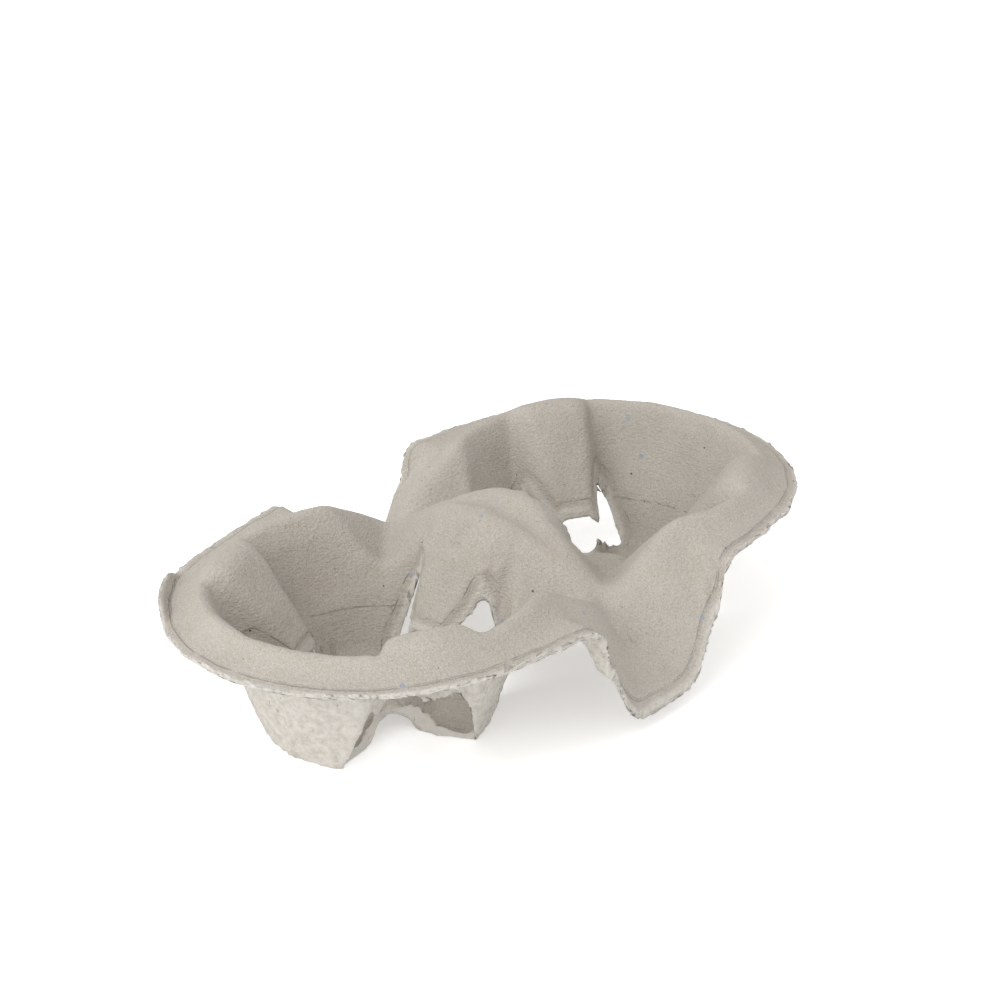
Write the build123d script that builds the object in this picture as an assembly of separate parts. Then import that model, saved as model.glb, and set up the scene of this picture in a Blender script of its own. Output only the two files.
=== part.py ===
"""Two-cup carrier, moulded in one piece from a sheet of paper pulp.

The tray is the same in all four quarters. X runs along the tray through both wells, Y across it,
and Z is up. The feet stand on Z = 0. The height of the sheet's smooth upper side is worked out
round the axis of one well, and a loft through radial sections makes the moulded sheet.
Angles are measured at a well's centre, from the direction of the other well.
"""

import os
from math import atan2, cos, degrees, exp, hypot, radians, sin

from build123d import *

# Sheet and plan
sheet = 1.8                     # thickness of the dried pulp
well_offset = 47.5              # from the middle of the tray to each well's axis
lip_radius = 55.0               # outer edge of the lip, round each well
waist_bulge = 5.0               # swell of the long sides at the waist

# Heights of the upper side
rim_height = 44.6               # where the slopes inside and outside the rim would meet
lip_height = 37.2               # level lip outside the rim
skirt_height = 6.6              # lowest point of the sheet's edge, at the waist
saddle_height = 43.2            # dip between the rims of the two wells
hub_height = 8.0                # raised middle of a well's floor

# Rim
rim_radius = 42.0               # where those slopes meet
rim_slope = 0.95                # fall of the rim for each millimetre outwards
rim_droop = 0.06                # quickening of that fall outside the lip's circle
crest_blend = 14.0              # softness of the crest
lip_blend = 3.0                 # softness of the fold between rim and lip
saddle_fall = 1.7               # power of the ridge's fall towards the waist
notch_angle = 40.0              # where the rim dips between saddle and side panel
notch_height = 21.0
notch_slope = 1.3
notch_round = 3.0
notch_blend = 6.0
notch_climb = 0.3               # rise of the notch outwards from the rim

# Wells: wall panels between fingers
foot_radius = 29.0              # foot of the panels
panel_slope = 3.2               # rise of a panel for each millimetre outwards
fold_blend = 4.0                # softness of the folds in the wells
hub_radius = 7.0                # level top of the hub
hub_apron = 10.0                # slope from the hub down to the feet
pad_radius = 6.0                # pad that closes the middle of the hub
pad_step = 0.2                  # the pad stands this far out of both sides of the sheet
foot_cut = 0.2                  # trimmed off below the feet, to leave them level

# Fingers, which hang from the rim and grip the cup
finger_angles = (0.0, 116.0, 244.0)
finger_tip_radius = 18.5
finger_tip_height = 17.5
finger_slope = 1.5              # rise of a finger for each millimetre outwards
finger_tip_half_width = 5.5     # flat face of a finger, at its tip
finger_half_width = 8.0         # the same, where its window ends
saddle_half_width = 10.5        # the same, on the finger that hangs from the saddle
finger_side_slope = 2.5         # fall of its sides for each millimetre away from the face
finger_edge_blend = 5.0         # softness of the edges between face and sides

# Windows under the fingers
spoke_half_width = 11.8         # spokes of the floor, at the feet
spoke_neck_half_width = 9.0     # the same, at the hub
spoke_length = 28.0             # along a spoke, from the well's axis to a foot's corner
window_root = 30.0              # outer end of a window, along its finger
window_root_half_width = 14.5
tongue_root_half_width = 11.8   # the finger's own edge at the window's outer end
tongue_tip_half_width = 6.5
window_round = 1.5              # radius of a window's corners

# Skirt: the dip of the edge on each long side
skirt_half_width = 10.5         # level bottom of the dip
skirt_run = 19.5                # from the bottom of the dip up to the lip

# Loft
section_step = 3.6              # degrees between radial sections
section_start = 5.0             # inner end of the sections, under the pad
section_margin = 2.0            # the sections reach past the edge, which is trimmed
section_swell = 16.0            # half-angle of the longer sections at the waist
slope_step = 0.05               # for measuring slopes
inner_stations = 15
outer_stations = 12

finger_half_widths = (saddle_half_width, finger_half_width, finger_half_width)
waist_reach = lip_radius + waist_bulge
pocket_height = sheet - foot_cut


def ramp(share):
    """Smooth rise from 0 to 1."""
    share = min(max(share, 0.0), 1.0)
    return share * share * (3.0 - 2.0 * share)


def soft_max(first, second, blend):
    gap = max(blend - abs(first - second), 0.0)
    return max(first, second) + gap * gap / (4.0 * blend)


def soft_min(first, second, blend):
    return -soft_max(-first, -second, blend)


def turn_between(first, second):
    """Smallest angle between two directions, in degrees."""
    return abs((first - second + 180.0) % 360.0 - 180.0)


def well_height(radius, angle):
    """Inside of a well: floor with a raised hub, wall panels and fingers."""
    inside = pocket_height + panel_slope * (radius - foot_radius)
    for each, half_width in zip(finger_angles, finger_half_widths):
        reach = radius * cos(radians(angle - each))
        aside = radius * sin(radians(angle - each))
        ridge = finger_tip_height + finger_slope * (reach - finger_tip_radius)
        spread = (half_width - finger_tip_half_width) / (window_root - finger_tip_radius)
        face = finger_tip_half_width + spread * (reach - finger_tip_radius)
        side = soft_max(0.0, finger_side_slope * (abs(aside) - face), finger_edge_blend)
        inside = soft_max(inside, ridge - side, fold_blend)
    hub = 1.0 - ramp((radius - hub_radius) / hub_apron)
    return soft_max(inside, pocket_height + (hub_height - pocket_height) * hub, fold_blend)


def rim_outside(radius):
    """Outer slope of the rim."""
    droop = rim_droop * max(radius - lip_radius, 0.0) ** 2
    return rim_height - rim_slope * (radius - rim_radius) - droop


def edge_height(along, across):
    """Level outside the rims: the lip, the saddle and the dip at the waist."""
    saddle = saddle_height - (saddle_height - skirt_height) * (across / waist_reach) ** saddle_fall
    return saddle + (lip_height - saddle) * ramp((along - skirt_half_width) / skirt_run)


def notch(radius, angle):
    """Trough where the rim opens between the saddle and a side panel."""
    aside = radius * sin(radians(angle - notch_angle))
    climb = notch_climb * max(radius - rim_radius, 0.0)
    return notch_height + notch_slope * hypot(aside, notch_round) + climb


def sheet_height(x, y):
    """Upper side of the sheet."""
    along, across = abs(x), abs(y)
    radius = hypot(along - well_offset, across)
    angle = degrees(atan2(across, well_offset - along))
    outside = soft_max(rim_outside(radius), edge_height(along, across), lip_blend)
    rim = soft_min(well_height(radius, angle), outside, crest_blend)
    return soft_min(rim, notch(radius, angle), notch_blend)


def sheet_depth(x, y):
    """Thickness of the sheet straight down, which is more where the sheet is steep."""
    east = (sheet_height(x + slope_step, y) - sheet_height(x - slope_step, y)) / (2.0 * slope_step)
    north = (sheet_height(x, y + slope_step) - sheet_height(x, y - slope_step)) / (2.0 * slope_step)
    return sheet * hypot(1.0, east, north)


def section_end(angle):
    """Outer end of a section, past the edge of the tray all round."""
    corner = degrees(atan2(waist_reach, well_offset))
    longer = hypot(waist_reach, well_offset) - lip_radius + section_margin
    return lip_radius + section_margin + longer * exp(-(((angle - corner) / section_swell) ** 2))


def section(angle, stations):
    """Upright slice through the sheet, from the hub outwards."""
    end = section_end(angle)
    upper, lower = [], []
    for station in stations:
        if station <= 1.0:
            radius = section_start + (rim_radius - section_start) * station
        else:
            radius = rim_radius + (end - rim_radius) * (station - 1.0)
        x = well_offset - radius * cos(radians(angle))
        y = radius * sin(radians(angle))
        height = sheet_height(x, y)
        upper.append((x, y, height))
        lower.append((x, y, height - sheet_depth(x, y)))
    parameters = [station / stations[-1] for station in stations]
    return Wire(
        [
            Edge.make_spline(upper, parameters=parameters),
            Edge.make_line(upper[-1], lower[-1]),
            Edge.make_spline(lower, parameters=parameters),
            Edge.make_line(lower[0], upper[0]),
        ]
    )


def outline():
    """Plan of the tray: a round end about each well, and long sides that swell at the waist."""
    side_centre = (well_offset**2 - waist_bulge**2) / (2.0 * waist_bulge)
    side_radius = side_centre + waist_reach
    touch = well_offset * (1.0 + lip_radius / hypot(well_offset, side_centre))
    sides = Rectangle(2.0 * touch, 2.0 * waist_reach)
    sides &= Pos(0, side_centre) * Circle(side_radius)
    sides &= Pos(0, -side_centre) * Circle(side_radius)
    return sides + [Pos(side * well_offset) * Circle(lip_radius) for side in (-1, 1)]


def window():
    """Horseshoe opening round a finger's tip, with the finger's root along +X."""
    root = cos(radians(60.0))
    side = sin(radians(60.0))
    hub_end = (spoke_neck_half_width / side, 0.0)
    foot = (
        root * spoke_length + side * spoke_half_width,
        side * spoke_length - root * spoke_half_width,
    )
    half = [
        hub_end,
        foot,
        (window_root, window_root_half_width),
        (window_root, tongue_root_half_width),
        (finger_tip_radius, tongue_tip_half_width),
    ]
    points = half + [(x, -y) for x, y in reversed(half[1:])]
    face = make_face(Polyline(*points, close=True))
    return fillet(face.vertices(), window_round)


stations = [i / inner_stations for i in range(inner_stations)]
stations += [1.0 + i / outer_stations for i in range(outer_stations + 1)]
section_count = round(180.0 / section_step)
sections = [section(180.0 * i / section_count, stations) for i in range(section_count + 1)]
quarter = Solid.make_loft(sections)

height = quarter.bounding_box().max.Z + 1.0
half_plan = outline() & Pos(waist_reach * 2) * Rectangle(waist_reach * 4, waist_reach * 4)
blank = extrude(half_plan, height)
half = quarter + mirror(quarter, Plane.XZ)
half = half & blank
pad = Cylinder(pad_radius, sheet + 2.0 * pad_step)
half -= Pos(well_offset) * Cylinder(pad_radius, 2.0 * height)
half += Pos(well_offset, 0, hub_height - sheet / 2.0) * pad
for each in finger_angles:
    place = Pos(well_offset) * Rot(Z=180.0 + each)
    half -= place * extrude(window(), height)
carrier = half.fuse(mirror(half, Plane.YZ), glue=True)

os.makedirs("parts", exist_ok=True)
export_step(carrier, "parts/cup_carrier.step")
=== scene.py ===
# %% [markdown]
# # A cup carrier of moulded paper pulp
#
# The carrier is one sheet of wet paper pulp, sucked onto a wire mould and dried. The side that lay on
# the mould is fairly smooth and keeps a print of the wire. The other side is lumpy and pale. Every cut
# edge is torn and hairy. This lesson takes the plain sheet from the frame and gives it those marks.

# %% Load the frame
import math

import bpy
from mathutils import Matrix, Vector, noise
from mathutils.bvhtree import BVHTree


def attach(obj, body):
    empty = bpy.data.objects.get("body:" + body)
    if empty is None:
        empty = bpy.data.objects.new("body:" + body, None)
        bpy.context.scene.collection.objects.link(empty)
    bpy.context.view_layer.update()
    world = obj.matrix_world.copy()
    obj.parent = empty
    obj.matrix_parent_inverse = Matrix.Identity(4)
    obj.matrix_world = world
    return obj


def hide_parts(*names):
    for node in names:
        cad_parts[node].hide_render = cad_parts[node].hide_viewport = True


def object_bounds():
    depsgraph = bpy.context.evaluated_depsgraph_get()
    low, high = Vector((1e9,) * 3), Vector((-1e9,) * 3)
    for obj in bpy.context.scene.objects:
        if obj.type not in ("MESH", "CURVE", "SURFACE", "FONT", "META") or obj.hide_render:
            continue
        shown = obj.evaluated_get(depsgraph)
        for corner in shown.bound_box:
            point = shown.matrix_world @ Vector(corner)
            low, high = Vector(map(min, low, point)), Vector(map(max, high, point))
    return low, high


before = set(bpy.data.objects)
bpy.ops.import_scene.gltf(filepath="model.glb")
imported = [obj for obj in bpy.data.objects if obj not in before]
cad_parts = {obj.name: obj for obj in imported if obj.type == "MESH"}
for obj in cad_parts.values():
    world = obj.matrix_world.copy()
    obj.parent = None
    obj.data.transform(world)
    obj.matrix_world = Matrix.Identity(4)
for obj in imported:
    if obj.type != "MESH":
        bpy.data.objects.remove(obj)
cad_box = [list(corner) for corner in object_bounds()]
MM = 0.001
print("frame box in metres", cad_box)

# %% [markdown]
# ## Camera
#
# The picture looks down at the tray from one corner, from hand's reach. The direction is given as a
# turn round the tray and a height above the horizon. The camera looks at a point above the tray,
# because the tray sits low in the picture.

# %% Place the camera
VIEW_TURN = math.radians(-48.56)
VIEW_RISE = math.radians(28.69)
VIEW_DISTANCE = 600 * MM
LENS = 77.1
ABOVE_TRAY = 40.9 * MM
BESIDE_TRAY = 1.2 * MM

toward_camera = Vector(
    (
        math.sin(VIEW_TURN) * math.cos(VIEW_RISE),
        -math.cos(VIEW_TURN) * math.cos(VIEW_RISE),
        math.sin(VIEW_RISE),
    )
)
picture_right = Vector((math.cos(VIEW_TURN), math.sin(VIEW_TURN), 0))
picture_up = toward_camera.cross(picture_right)

bpy.ops.object.select_all(action="DESELECT")
bpy.ops.object.camera_add(location=toward_camera * VIEW_DISTANCE)
camera = bpy.context.object
camera.name = "photo_camera"
aim = picture_up * ABOVE_TRAY + picture_right * BESIDE_TRAY
camera.rotation_euler = (aim - camera.location).to_track_quat("-Z", "Y").to_euler()
camera.data.lens = LENS
camera.data.sensor_width = 36
camera.data.clip_start = 10 * MM
bpy.context.scene.camera = camera
print("camera at", tuple(round(value, 3) for value in camera.location))

# %% [markdown]
# ## Studio
#
# The tray stands on white paper under very soft light. A white world gives light from all round, and
# one large lamp in front, to the left of the camera, shapes the folds. The floor is a table of lit
# white paper: it sends light up to the underside and leaves only a faint shadow.

# %% Build the studio
FLOOR_SIZE = 6.0
KEY_SIZE = 0.9
KEY_POWER = 6.0
FILL_STRENGTH = 0.95
FLOOR_GLOW = 0.32

bpy.ops.mesh.primitive_plane_add(size=FLOOR_SIZE, location=(0, 0, -0.05 * MM))
floor = bpy.context.object
floor.name = "studio_floor"
paper = bpy.data.materials.new("white_paper")
paper.use_nodes = True
paper_shader = paper.node_tree.nodes["Principled BSDF"]
paper_shader.inputs["Base Color"].default_value = (0.93, 0.93, 0.93, 1)
paper_shader.inputs["Roughness"].default_value = 0.9
paper_shader.inputs["Emission Color"].default_value = (1, 1, 1, 1)
paper_shader.inputs["Emission Strength"].default_value = FLOOR_GLOW
floor.data.materials.append(paper)

world = bpy.data.worlds.new("soft_white")
world.use_nodes = True
world.node_tree.nodes["Background"].inputs["Color"].default_value = (1, 1, 1, 1)
world.node_tree.nodes["Background"].inputs["Strength"].default_value = FILL_STRENGTH
bpy.context.scene.world = world

key_place = toward_camera * 0.65 - picture_right * 0.55 + Vector((0, 0, 0.35))
bpy.ops.object.light_add(type="AREA", location=key_place)
key = bpy.context.object
key.name = "key_light"
key.data.size = KEY_SIZE
key.data.energy = KEY_POWER
key.rotation_euler = (-key_place).to_track_quat("-Z", "Y").to_euler()
bpy.context.scene.view_settings.view_transform = "Standard"
print("studio: floor, white world and", key.name)

# %% [markdown]
# ## The sheet
#
# The frame's solid has the right shape but smooth sides and sharp edges. A copy is made, its loose
# triangles are merged, and it is remeshed into small even quads, because lumps and torn edges need
# points everywhere. Subdividing would also give points, but very uneven ones. A little smoothing
# takes away the steps that the remesh leaves.

# %% Copy the sheet
QUAD_SIZE = 1.05 * MM
SMOOTH_ROUNDS = 3
SMOOTH_SHARE = 0.5

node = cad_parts["cup_carrier"]
bpy.ops.object.select_all(action="DESELECT")
node.select_set(True)
bpy.context.view_layer.objects.active = node
bpy.ops.object.duplicate()
carrier = bpy.context.object
carrier.name = "pulp_carrier"
carrier.data.name = "pulp_carrier"

bpy.ops.object.mode_set(mode="EDIT")
bpy.ops.mesh.select_all(action="SELECT")
bpy.ops.mesh.remove_doubles(threshold=0.001 * MM)
bpy.ops.object.mode_set(mode="OBJECT")
print("solid's faces", len(carrier.data.polygons))

# %% [markdown]
# Before the remesh, the cut edges are easy to find: their faces stand quite upright, and they lie on
# the outline of the tray or of a window under a finger. They are kept as two search trees.

# %% Remember the cut edges
UPRIGHT = 0.03
SMALLEST_FACE = 0.1 * MM * MM
WELL_OFFSET = 47.5 * MM
LIP_REACH = 54 * MM
FINGER_TURNS = (0, math.radians(116), math.radians(244))
WINDOW_SLACK = 0.9 * MM
# Half of a window's outline: along its finger from the well's axis, and beside it.
WINDOW_HALF = ((10.4, 0), (24.2, 18.3), (30, 14.5), (30, 11.8), (18.5, 6.5), (18.5, 0))
WINDOW_CORNERS = [Vector((reach * MM, aside * MM)) for reach, aside in WINDOW_HALF]


def well_radius(place):
    """Distance from the nearer well's axis, seen from above."""
    return math.hypot(abs(place.x) - WELL_OFFSET, place.y)


def on_window(place):
    """Tells whether a place lies on a window's outline, seen from above."""
    turn = math.atan2(place.y, WELL_OFFSET - abs(place.x))
    for finger in FINGER_TURNS:
        reach = well_radius(place) * math.cos(turn - finger)
        aside = well_radius(place) * math.sin(turn - finger)
        spot = Vector((reach, abs(aside)))
        for start, end in zip(WINDOW_CORNERS, WINDOW_CORNERS[1:]):
            side = end - start
            share = min(max((spot - start).dot(side) / side.length_squared, 0.0), 1.0)
            if (start + side * share - spot).length < WINDOW_SLACK:
                return True
    return False


def edge_tree(keep):
    """Search tree of the upright faces whose centre passes the test."""
    corners = [vertex.co.copy() for vertex in carrier.data.vertices]
    upright = [face for face in carrier.data.polygons if abs(face.normal.z) < UPRIGHT]
    faces = [
        tuple(face.vertices)
        for face in upright
        if face.area > SMALLEST_FACE and keep(face.center)
    ]
    print("cut faces", len(faces))
    return BVHTree.FromPolygons(corners, faces)


window_edges = edge_tree(on_window)
outer_edges = edge_tree(lambda place: well_radius(place) > LIP_REACH)

# %% Remesh the sheet
carrier.data.remesh_voxel_size = QUAD_SIZE
bpy.ops.object.voxel_remesh()
smooth = carrier.modifiers.new("even_out", "SMOOTH")
smooth.factor = SMOOTH_SHARE
smooth.iterations = SMOOTH_ROUNDS
bpy.ops.object.modifier_apply(modifier=smooth.name)
bpy.ops.object.shade_smooth()
print("remeshed to", len(carrier.data.polygons), "quads")

# %% [markdown]
# ## Which side is which
#
# The mould side faces up everywhere, even on the steep walls, so the normal's sign tells the two sides
# apart. Each point also learns how far it is from a window and from the outer edge. Two vertex groups
# say where lumps may rise: on one side each, and less near an edge.

# %% Measure every point
FAR = 20 * MM
LUMP_MARGIN = 4 * MM
SIDE_BLEND = 0.3

mesh = carrier.data


def gap_to(tree, place):
    """Distance to the nearest cut edge, and the way out of the sheet there."""
    spot, outward, _, gap = tree.find_nearest(place, FAR)
    if spot is None:
        return FAR, Vector((0, 0, 0))
    return gap, outward


under_weight = carrier.vertex_groups.new(name="underside_points")
upper_weight = carrier.vertex_groups.new(name="upper_points")
normals = [vertex.normal.copy() for vertex in mesh.vertices]
undersides, window_gaps, edge_gaps, ways_out = [], [], [], []
for vertex in mesh.vertices:
    under = min(max(0.5 - normals[vertex.index].z / SIDE_BLEND, 0.0), 1.0)
    window_gap, window_way = gap_to(window_edges, vertex.co)
    edge_gap, edge_way = gap_to(outer_edges, vertex.co)
    inside = min(min(window_gap, edge_gap) / LUMP_MARGIN, 1.0)
    under_weight.add([vertex.index], under * inside, "REPLACE")
    upper_weight.add([vertex.index], (1.0 - under) * inside, "REPLACE")
    undersides.append(under)
    window_gaps.append(window_gap)
    edge_gaps.append(edge_gap)
    ways_out.append(window_way if window_gap < edge_gap else edge_way)
print("points near an edge", sum(min(pair) < 2 * MM for pair in zip(window_gaps, edge_gaps)))

# %% [markdown]
# ## Pressed flanges
#
# Along every edge the mould presses a narrow flange a little thinner than the sheet, so that it tears
# there. The step shows as a soft line beside the lip and round the windows. An inset and a bevel could
# make it on a clean mesh. On small quads it is simpler to lower the points that lie near an edge.

# %% Press the flanges
FLANGE_WIDTH = 2.8 * MM
LIP_WIDTH = 2.8 * MM
FLANGE_STEP = 0.35 * MM
LIP_STEP = 0.5 * MM
STEP_RUN = 0.9 * MM
WOBBLE = 0.5 * MM
WOBBLE_PITCH = 9 * MM


def smooth_step(share):
    """Smooth rise from 0 to 1."""
    share = min(max(share, 0.0), 1.0)
    return share * share * (3 - 2 * share)


def wobble_at(place):
    """Slow waver of the mould lines."""
    return WOBBLE * noise.noise(place / WOBBLE_PITCH)


places = [vertex.co.copy() for vertex in mesh.vertices]
for index, place in enumerate(places):
    wobble = wobble_at(place)
    at_window = 1 - smooth_step((window_gaps[index] + wobble - FLANGE_WIDTH) / STEP_RUN + 0.5)
    at_lip = 1 - smooth_step((edge_gaps[index] + wobble - LIP_WIDTH) / STEP_RUN + 0.5)
    sink = max(FLANGE_STEP * at_window, LIP_STEP * at_lip) * (1 - undersides[index])
    mesh.vertices[index].co = place - normals[index] * sink
print("flanges", round(FLANGE_WIDTH / MM, 1), "mm and lip", round(LIP_WIDTH / MM, 1), "mm wide")

# %% [markdown]
# ## Torn edges
#
# The tray is torn from its neighbours and the windows are torn open, so the edges wander. Each point
# close to an edge moves in or out by two sizes of noise, and less the further in it lies. The windows
# are ragged all round, the outer edge only in stretches. Here and there a bite is missing.

# %% Tear the edges
TEAR_DEPTH = 3.0 * MM
WANDER = 0.8 * MM
WANDER_PITCH = 8.0 * MM
FRAY = 0.4 * MM
FRAY_PITCH = 2.8 * MM
BITE = 2.0 * MM
BITE_PITCH = 5.0 * MM
BITE_RARITY = 0.3
STRETCH_PITCH = 28.0 * MM
STRETCH_CONTRAST = 1.2
CALM_SHARE = 0.25
THROUGH_SHARE = 0.3


def tear_at(place):
    """How far the torn edge stands out at a place. The whole thickness tears alike."""
    place = Vector((place.x, place.y, place.z * THROUGH_SHARE))
    bite = max(noise.noise(place / BITE_PITCH) - BITE_RARITY, 0.0)
    wander = WANDER * noise.noise(place / WANDER_PITCH)
    return wander + FRAY * noise.noise(place / FRAY_PITCH) - BITE * bite


for index, place in enumerate(places):
    at_window = window_gaps[index] < edge_gaps[index]
    stretch = smooth_step(0.5 + STRETCH_CONTRAST * noise.noise(place / STRETCH_PITCH))
    ragged = 1.0 if at_window else CALM_SHARE + (1 - CALM_SHARE) * stretch
    hold = max(1.0 - min(window_gaps[index], edge_gaps[index]) / TEAR_DEPTH, 0.0)
    mesh.vertices[index].co += ways_out[index] * tear_at(place) * ragged * hold
print("edges wander by up to", round((WANDER + FRAY) / MM, 2), "mm")

# %% [markdown]
# ## Mould lines
#
# Thin lines run along the flange of every window, inside the lip, and level across each wall panel.
# They are thinner than the quads, so only their distance is stored here, and the material presses them
# in and paints shade into the window and panel lines. The side that a point lies on is stored with
# them.

# %% Store the mould lines
PANEL_LINE = 14.5 * MM
PANEL_NEAR = 29 * MM
PANEL_FAR = 37 * MM

crease_gaps = []
for index, place in enumerate(places):
    on_panel = PANEL_NEAR < well_radius(place) < PANEL_FAR and normals[index].z > 0
    crease_gaps.append(abs(place.z + wobble_at(place) - PANEL_LINE) if on_panel else FAR)
measured = {
    "underside": undersides,
    "window_gap": [gap + wobble_at(place) for gap, place in zip(window_gaps, places)],
    "edge_gap": [gap + wobble_at(place) for gap, place in zip(edge_gaps, places)],
    "crease_gap": crease_gaps,
}
for name, values in measured.items():
    mesh.attributes.new(name, "FLOAT", "POINT").data.foreach_set("value", values)
print("stored", ", ".join(measured))

# %% [markdown]
# ## Lumps
#
# The underside was never pressed, so its fibres dried in lumps. The mould side only swells and dips a
# little. A Displace modifier with a cloud texture does both, each on its own side.

# %% Raise the lumps


def raise_lumps(title, group, pitch, depth, height):
    """Applies one layer of cloud-shaped lumps to a side of the sheet."""
    clouds = bpy.data.textures.new(title, "CLOUDS")
    clouds.noise_scale = pitch
    clouds.noise_depth = depth
    lumps = carrier.modifiers.new(title, "DISPLACE")
    lumps.texture = clouds
    lumps.texture_coords = "LOCAL"
    lumps.vertex_group = group
    lumps.strength = height
    lumps.mid_level = 0.5
    bpy.ops.object.modifier_apply(modifier=lumps.name)
    print(title, round(height / MM, 2), "mm")


bpy.context.view_layer.objects.active = carrier
raise_lumps("underside_lumps", "underside_points", pitch=3.6 * MM, depth=1, height=0.9 * MM)
raise_lumps("underside_fibres", "underside_points", pitch=1.8 * MM, depth=1, height=0.6 * MM)
raise_lumps("upper_swells", "upper_points", pitch=11 * MM, depth=2, height=0.8 * MM)

# %% [markdown]
# ## A tired end
#
# Damp pulp sags. On this tray one well's far rim has sunk a few millimetres, and its feet still stand.
# The drop grows towards that rim and with height, so the floor of the well stays where it is. No lump
# goes below the floor. A short strip of the lip was torn off roughly and stands up as a flap.

# %% Turn up a flap of the lip
FLAP_RISE = 3.4 * MM
FLAP_WIDTH = 2.6 * MM
FLAP_RUN = 1.6 * MM
FLAP_TURN = math.radians(133)
FLAP_SPREAD = math.radians(17)

flap_points = 0
for index, place in enumerate(places):
    turn = math.atan2(place.y, place.x + WELL_OFFSET)
    along = smooth_step(2 - 2 * abs(turn - FLAP_TURN) / FLAP_SPREAD)
    across = smooth_step((FLAP_WIDTH - edge_gaps[index]) / FLAP_RUN)
    if place.x < 0 and along * across > 0:
        mesh.vertices[index].co.z += FLAP_RISE * along * across
        flap_points += 1
print("flap of", flap_points, "points")

# %% Let the rim sag
SAG = 3.6 * MM
SAG_START = 5 * MM
SAG_RUN = 60 * MM
TRAY_HALF_WIDTH = 60 * MM
TRAY_HEIGHT = cad_box[1][2]

for vertex in mesh.vertices:
    x, y, z = vertex.co
    toward_end = smooth_step((-x - SAG_START) / SAG_RUN)
    toward_rim = min(max((y + TRAY_HALF_WIDTH) / (2 * TRAY_HALF_WIDTH), 0.0), 1.0)
    vertex.co.z = max(z, 0.0) * (1 - SAG * toward_end * toward_rim / TRAY_HEIGHT)
print("rim sags by", round(SAG / MM, 1), "mm at most")

# %% [markdown]
# ## Hairs
#
# Torn pulp has pale hairs along its edge. One hair is modelled as a thin bent cone. Copies of it stand
# at points of the edge and lean out of the sheet, each with its own length and lean. They are joined
# to the sheet at the end, because they are part of it. A particle system could also grow them, but it
# would leave live settings behind.

# %% Model one hair
HAIR_LENGTH = 1.0 * MM
HAIR_THICKNESS = 0.05 * MM
HAIR_BEND = 0.15 * HAIR_LENGTH

bpy.ops.object.select_all(action="DESELECT")
bpy.ops.mesh.primitive_cone_add(vertices=3, radius1=HAIR_THICKNESS, radius2=0, depth=HAIR_LENGTH)
hair = bpy.context.object
hair.name = "edge_hair"
bpy.ops.object.mode_set(mode="EDIT")
bpy.ops.mesh.select_all(action="SELECT")
bpy.ops.transform.translate(value=(0, 0, HAIR_LENGTH / 2))
bpy.ops.mesh.bisect(plane_co=(0, 0, HAIR_LENGTH * 0.5), plane_no=(0, 0, 1))
bpy.ops.transform.translate(value=(HAIR_BEND, 0, 0))
bpy.ops.object.mode_set(mode="OBJECT")
print("one hair of", len(hair.data.polygons), "faces")

# %% Stand hairs along the edges
HAIR_EVERY = 47
HAIR_REACH = 0.8 * MM
HAIR_LEAN = 1.1
LEAN_PITCH = 0.7 * MM
SHORTEST = 0.5
LENGTH_SPREAD = 1.4
LENGTH_PITCH = 1.1 * MM
HAIR_VALUES = {"underside": 1.0, "window_gap": FAR, "edge_gap": 0.0, "crease_gap": FAR}

edge_points = [
    index
    for index, gaps in enumerate(zip(window_gaps, edge_gaps))
    if min(gaps) < HAIR_REACH
]
hairs = []
for index in edge_points[::HAIR_EVERY]:
    root = mesh.vertices[index].co
    lean = noise.noise_vector(root / LEAN_PITCH) * HAIR_LEAN
    way = (ways_out[index] + lean).normalized()
    length = SHORTEST + LENGTH_SPREAD * abs(noise.noise(root / LENGTH_PITCH))
    copy = hair.copy()
    copy.data = hair.data.copy()
    turn = way.to_track_quat("Z", "Y").to_matrix().to_4x4()
    for point in copy.data.vertices:
        point.co = root + turn @ Vector((point.co.x, point.co.y, point.co.z * length))
    bpy.context.collection.objects.link(copy)
    hairs.append(copy)
bpy.data.objects.remove(hair)

for copy in hairs:
    for name, value in HAIR_VALUES.items():
        layer = copy.data.attributes.new(name, "FLOAT", "POINT")
        layer.data.foreach_set("value", [value] * len(copy.data.vertices))
bpy.ops.object.select_all(action="DESELECT")
for copy in hairs:
    copy.select_set(True)
carrier.select_set(True)
bpy.context.view_layer.objects.active = carrier
hair_count = len(hairs)
bpy.ops.object.join()
print(hair_count, "hairs joined to the sheet")

# %% [markdown]
# ## Grey pulp
#
# Recycled pulp is a warm grey with paler and darker clouds, and with specks of ink and brown fibre in
# it. The mould side carries the print of the wire as fine crossing ridges. The patterns are cut
# through space, so they don't stretch on the walls.

# %% Node helpers


def add(tree, kind, **settings):
    """Adds one node, with the given settings."""
    made = tree.nodes.new(kind)
    for name, value in settings.items():
        setattr(made, name, value)
    return made


def put(made, values):
    """Sets or links inputs by name or number."""
    for name, value in values.items():
        if isinstance(value, bpy.types.NodeSocket):
            made.id_data.links.new(value, made.inputs[name])
        else:
            made.inputs[name].default_value = value
    return made


def new_group(title, inputs, outputs):
    """Starts a node group with the given sockets."""
    tree = bpy.data.node_groups.new(title, "ShaderNodeTree")
    for name, (kind, value) in inputs.items():
        socket = tree.interface.new_socket(name, in_out="INPUT", socket_type=kind)
        if value is not None:
            socket.default_value = value
    for name, kind in outputs.items():
        tree.interface.new_socket(name, in_out="OUTPUT", socket_type=kind)
    return tree, tree.nodes.new("NodeGroupInput"), tree.nodes.new("NodeGroupOutput")


def sums(tree, operation, first, second):
    """Adds one Math node."""
    return put(add(tree, "ShaderNodeMath", operation=operation), {0: first, 1: second}).outputs[0]


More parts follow.
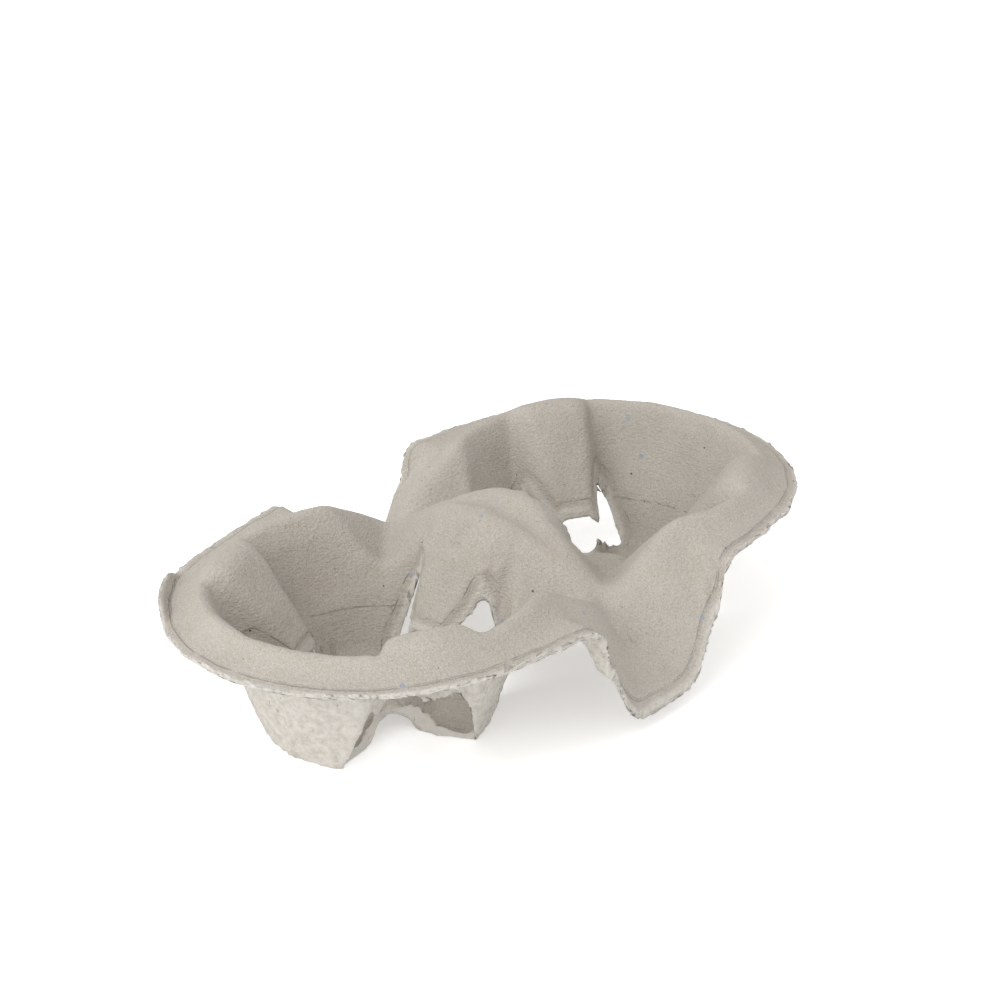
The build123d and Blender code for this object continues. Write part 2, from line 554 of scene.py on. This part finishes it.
# %% [markdown]
# Ink specks, blue flecks and short brown fibres lie at random places in the pulp. A Voronoi pattern
# gives the places, and a node group picks some of its cells. It is a group because every kind of speck
# uses it. A painted image would also do, but it would need a map of the whole sheet.

# %% Specks


def speck_group():
    """Mask of round specks at random places."""
    tree, given, out = new_group(
        "specks",
        {
            "Place": ("NodeSocketVector", None),
            "Pitch": ("NodeSocketFloat", 300.0),
            "Radius": ("NodeSocketFloat", 0.1),
            "Share": ("NodeSocketFloat", 0.5),
        },
        {"Mask": "NodeSocketFloat"},
    )
    where = {"Vector": given.outputs["Place"], "Scale": given.outputs["Pitch"]}
    cells = put(add(tree, "ShaderNodeTexVoronoi"), where)
    parts = put(add(tree, "ShaderNodeSeparateColor"), {0: cells.outputs["Color"]})
    inside = sums(tree, "LESS_THAN", cells.outputs["Distance"], given.outputs["Radius"])
    chosen = sums(tree, "LESS_THAN", parts.outputs[0], given.outputs["Share"])
    tree.links.new(sums(tree, "MULTIPLY", inside, chosen), out.inputs["Mask"])
    return tree


specks = speck_group()
print("node group", specks.name)

# %% Start the pulp material
PULP = (0.468, 0.433, 0.384, 1)
PULP_DARK = (0.422, 0.387, 0.338, 1)
PULP_PALE = (0.545, 0.513, 0.463, 1)
COOL = (0.420, 0.409, 0.387, 1)
UNDER_PALE = (0.65, 0.62, 0.57, 1)
GRAIN = (0.290, 0.262, 0.222, 1)
RUST = (0.42, 0.33, 0.26, 1)
INK = (0.035, 0.03, 0.028, 1)
BROWN = (0.20, 0.125, 0.075, 1)
BLUE = (0.20, 0.27, 0.42, 1)

material = bpy.data.materials.new("grey_pulp")
material.use_nodes = True
pulp = material.node_tree
shader = pulp.nodes["Principled BSDF"]
shader.inputs["Roughness"].default_value = 0.93
shader.inputs["Specular IOR Level"].default_value = 0.2
pulp_place = add(pulp, "ShaderNodeTexCoord").outputs["Object"]


def times(first, second):
    return sums(pulp, "MULTIPLY", first, second)


def clouds(pitch, detail, rough=0.55):
    """Noise cut through space."""
    return put(
        add(pulp, "ShaderNodeTexNoise"),
        {"Vector": pulp_place, "Scale": 1.0 / pitch, "Detail": detail, "Roughness": rough},
    ).outputs["Fac"]


def ramp(value, low, high):
    """0 at low, 1 at high."""
    made = add(pulp, "ShaderNodeMapRange")
    return put(made, {"Value": value, "From Min": low, "From Max": high}).outputs["Result"]


def tint(color, mask, share, shade):
    """Mixes a shade into the colour where the mask is."""
    made = add(pulp, "ShaderNodeMix", data_type="RGBA")
    return put(made, {0: times(mask, share), 6: color, 7: shade}).outputs[2]


def known(name):
    """Attribute that was stored on the sheet."""
    return add(pulp, "ShaderNodeAttribute", attribute_name=name).outputs["Fac"]


under = known("underside")
upper = sums(pulp, "SUBTRACT", 1.0, under)
print("material", material.name)

# %% [markdown]
# The colour is laid on in coats, from large clouds to fine grain. The underside and the torn edges are
# paler, because loose fibres scatter more light.

# %% Colour the pulp
SHADE_PITCH = 16 * MM
COOL_PITCH = 4 * MM
PALE_PITCH = 0.5 * MM
GRAIN_PITCH = 0.34 * MM
STAIN_PITCH = 9 * MM
FELT_PITCH = 2.2 * MM
PALE_EDGE = 1.5 * MM
PALEST_EDGE = 0.2 * MM

felt = clouds(FELT_PITCH, 6, 0.7)
edge = sums(pulp, "MINIMUM", known("edge_gap"), known("window_gap"))
color = tint(PULP_DARK, ramp(clouds(SHADE_PITCH, 3), 0.35, 0.65), 1.0, PULP)
color = tint(color, ramp(clouds(COOL_PITCH, 4), 0.45, 0.65), 0.35, COOL)
color = tint(color, ramp(clouds(PALE_PITCH, 3, 0.7), 0.40, 0.70), 0.7, PULP_PALE)
color = tint(color, ramp(clouds(GRAIN_PITCH, 2, 0.6), 0.60, 0.36), 0.6, GRAIN)
color = tint(color, ramp(clouds(STAIN_PITCH, 4, 0.65), 0.58, 0.75), 0.3, RUST)
color = tint(color, times(under, ramp(felt, 0.25, 0.6)), 0.9, UNDER_PALE)
color = tint(color, ramp(edge, PALE_EDGE, PALEST_EDGE), 0.55, UNDER_PALE)
print("coats of colour laid on")

# %% Scatter fibres and specks
FIBRE_PITCH = 1.9 * MM
FIBRE_STRETCH = (1, 1, 0.12)
FIBRE_TURNS = ((0.3, 0.9, 0.2), (1.1, 0.2, 1.9), (2.0, 1.2, 0.7))
# Each kind of speck: pitch, radius in cells, share of the cells, strength and colour.
SPECK_KINDS = (
    (2.6 * MM, 0.08, 0.35, 0.5, BROWN),
    (6.0 * MM, 0.055, 0.50, 0.85, INK),
    (9.0 * MM, 0.08, 0.25, 0.5, BLUE),
)


def scattered(where, pitch, radius, share):
    made = add(pulp, "ShaderNodeGroup", node_tree=specks)
    put(made, {"Place": where, "Pitch": 1.0 / pitch, "Radius": radius, "Share": share})
    return made.outputs["Mask"]


for turn in FIBRE_TURNS:
    stretched = {"Vector": pulp_place, "Scale": FIBRE_STRETCH, "Rotation": turn}
    where = put(add(pulp, "ShaderNodeMapping"), stretched).outputs[0]
    color = tint(color, scattered(where, FIBRE_PITCH, 0.07, 0.35), 0.42, BROWN)
for pitch, radius, share, strength, shade in SPECK_KINDS:
    color = tint(color, scattered(pulp_place, pitch, radius, share), strength, shade)
print(len(FIBRE_TURNS), "sets of fibres and", len(SPECK_KINDS), "kinds of speck")

# %% [markdown]
# The mould lines are pressed in where the stored distance is right. The window and panel lines also
# get
# painted shade: a brown tint for the shadow in their dent. They are worn away in places, those round
# the windows most. The lip's line is a dent only and has no painted shade.

# %% Draw the mould lines
WINDOW_LINE = 0.30 * MM
WINDOW_LINE_CORE = 0.04 * MM
WIDE_LINE = 0.45 * MM
WIDE_LINE_CORE = 0.05 * MM
WORN_PITCH = 5 * MM
KEPT_PITCH = 7 * MM
WINDOW_LINE_SHARE = 0.6
# Share of the painted shade, a brown tint for the shadow in the dent of the window and panel lines.
LINE_SHADE_SHARE = 0.22


def away_from(name, distance):
    """How far a stored distance is from the given one."""
    return sums(pulp, "ABSOLUTE", sums(pulp, "SUBTRACT", known(name), distance), 0.0)


window_line = ramp(away_from("window_gap", FLANGE_WIDTH), WINDOW_LINE, WINDOW_LINE_CORE)
lip_line = ramp(away_from("edge_gap", LIP_WIDTH), WIDE_LINE, WIDE_LINE_CORE)
panel_line = ramp(known("crease_gap"), WIDE_LINE, WIDE_LINE_CORE)
worn = times(upper, ramp(clouds(WORN_PITCH, 2), 0.42, 0.62))
kept = times(upper, ramp(clouds(KEPT_PITCH, 2), 0.28, 0.45))
line = times(times(window_line, worn), WINDOW_LINE_SHARE)
line = sums(pulp, "MAXIMUM", line, times(panel_line, kept))
# Painted shade: the window and panel lines are tinted brown for the shadow in their dent.
color = tint(color, line, LINE_SHADE_SHARE, BROWN)
line = sums(pulp, "MAXIMUM", line, times(lip_line, kept))
pulp.links.new(color, shader.inputs["Base Color"])
print("mould lines drawn")

# %% [markdown]
# What is finer than the quads is left to a bump: the print of the wire on the mould side, the felt on
# the underside, the grain and the mould lines. The wire and the felt rise and fall about zero, so that
# no step shows where one side of the sheet turns into the other.

# %% Raise the fine relief
WIRE_PITCH = 0.62 * MM
WIRE_STRETCH = (0.5, 0.5, 1.0)
WIRE_TURNS = ((0, 0, 0), (0.9, 0.4, 0))
WIRE_MIDDLE = 1.0
WIRE_HEIGHT = 0.45
RELIEF_PITCH = 0.75 * MM
RELIEF_HEIGHT = 0.6
FELT_MIDDLE = 0.5
FELT_HEIGHT = 1.8
LINE_DEPTH = 0.8
BUMP_STRENGTH = 0.9
BUMP_DISTANCE = 0.6 * MM


def ripples(turn):
    """Noise drawn out along the wire."""
    drawn = {"Vector": pulp_place, "Rotation": turn, "Scale": WIRE_STRETCH}
    mapping = put(add(pulp, "ShaderNodeMapping"), drawn)
    values = {"Vector": mapping.outputs[0], "Scale": 1.0 / WIRE_PITCH, "Detail": 1.0}
    return put(add(pulp, "ShaderNodeTexNoise"), values).outputs["Fac"]


first_wire, second_wire = (ripples(turn) for turn in WIRE_TURNS)
wire = sums(pulp, "SUBTRACT", sums(pulp, "ADD", first_wire, second_wire), WIRE_MIDDLE)
wire = times(wire, times(upper, WIRE_HEIGHT))
relief = times(clouds(RELIEF_PITCH, 4, 0.65), RELIEF_HEIGHT)
felt_rise = times(times(sums(pulp, "SUBTRACT", felt, FELT_MIDDLE), under), FELT_HEIGHT)
height = sums(pulp, "ADD", sums(pulp, "ADD", wire, relief), felt_rise)
height = sums(pulp, "SUBTRACT", height, times(line, LINE_DEPTH))
shape = {"Height": height, "Strength": BUMP_STRENGTH, "Distance": BUMP_DISTANCE}
bump = put(add(pulp, "ShaderNodeBump"), shape)
pulp.links.new(bump.outputs[0], shader.inputs["Normal"])

carrier.data.materials.clear()
carrier.data.materials.append(material)
print("sheet's material", carrier.data.materials[0].name)

# %% [markdown]
# ## Hand-over
#
# The dressed sheet rides on the tray's only body and stands in for the plain solid.

# %% Hand the carrier to the frame
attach(carrier, "root")
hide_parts("cup_carrier")
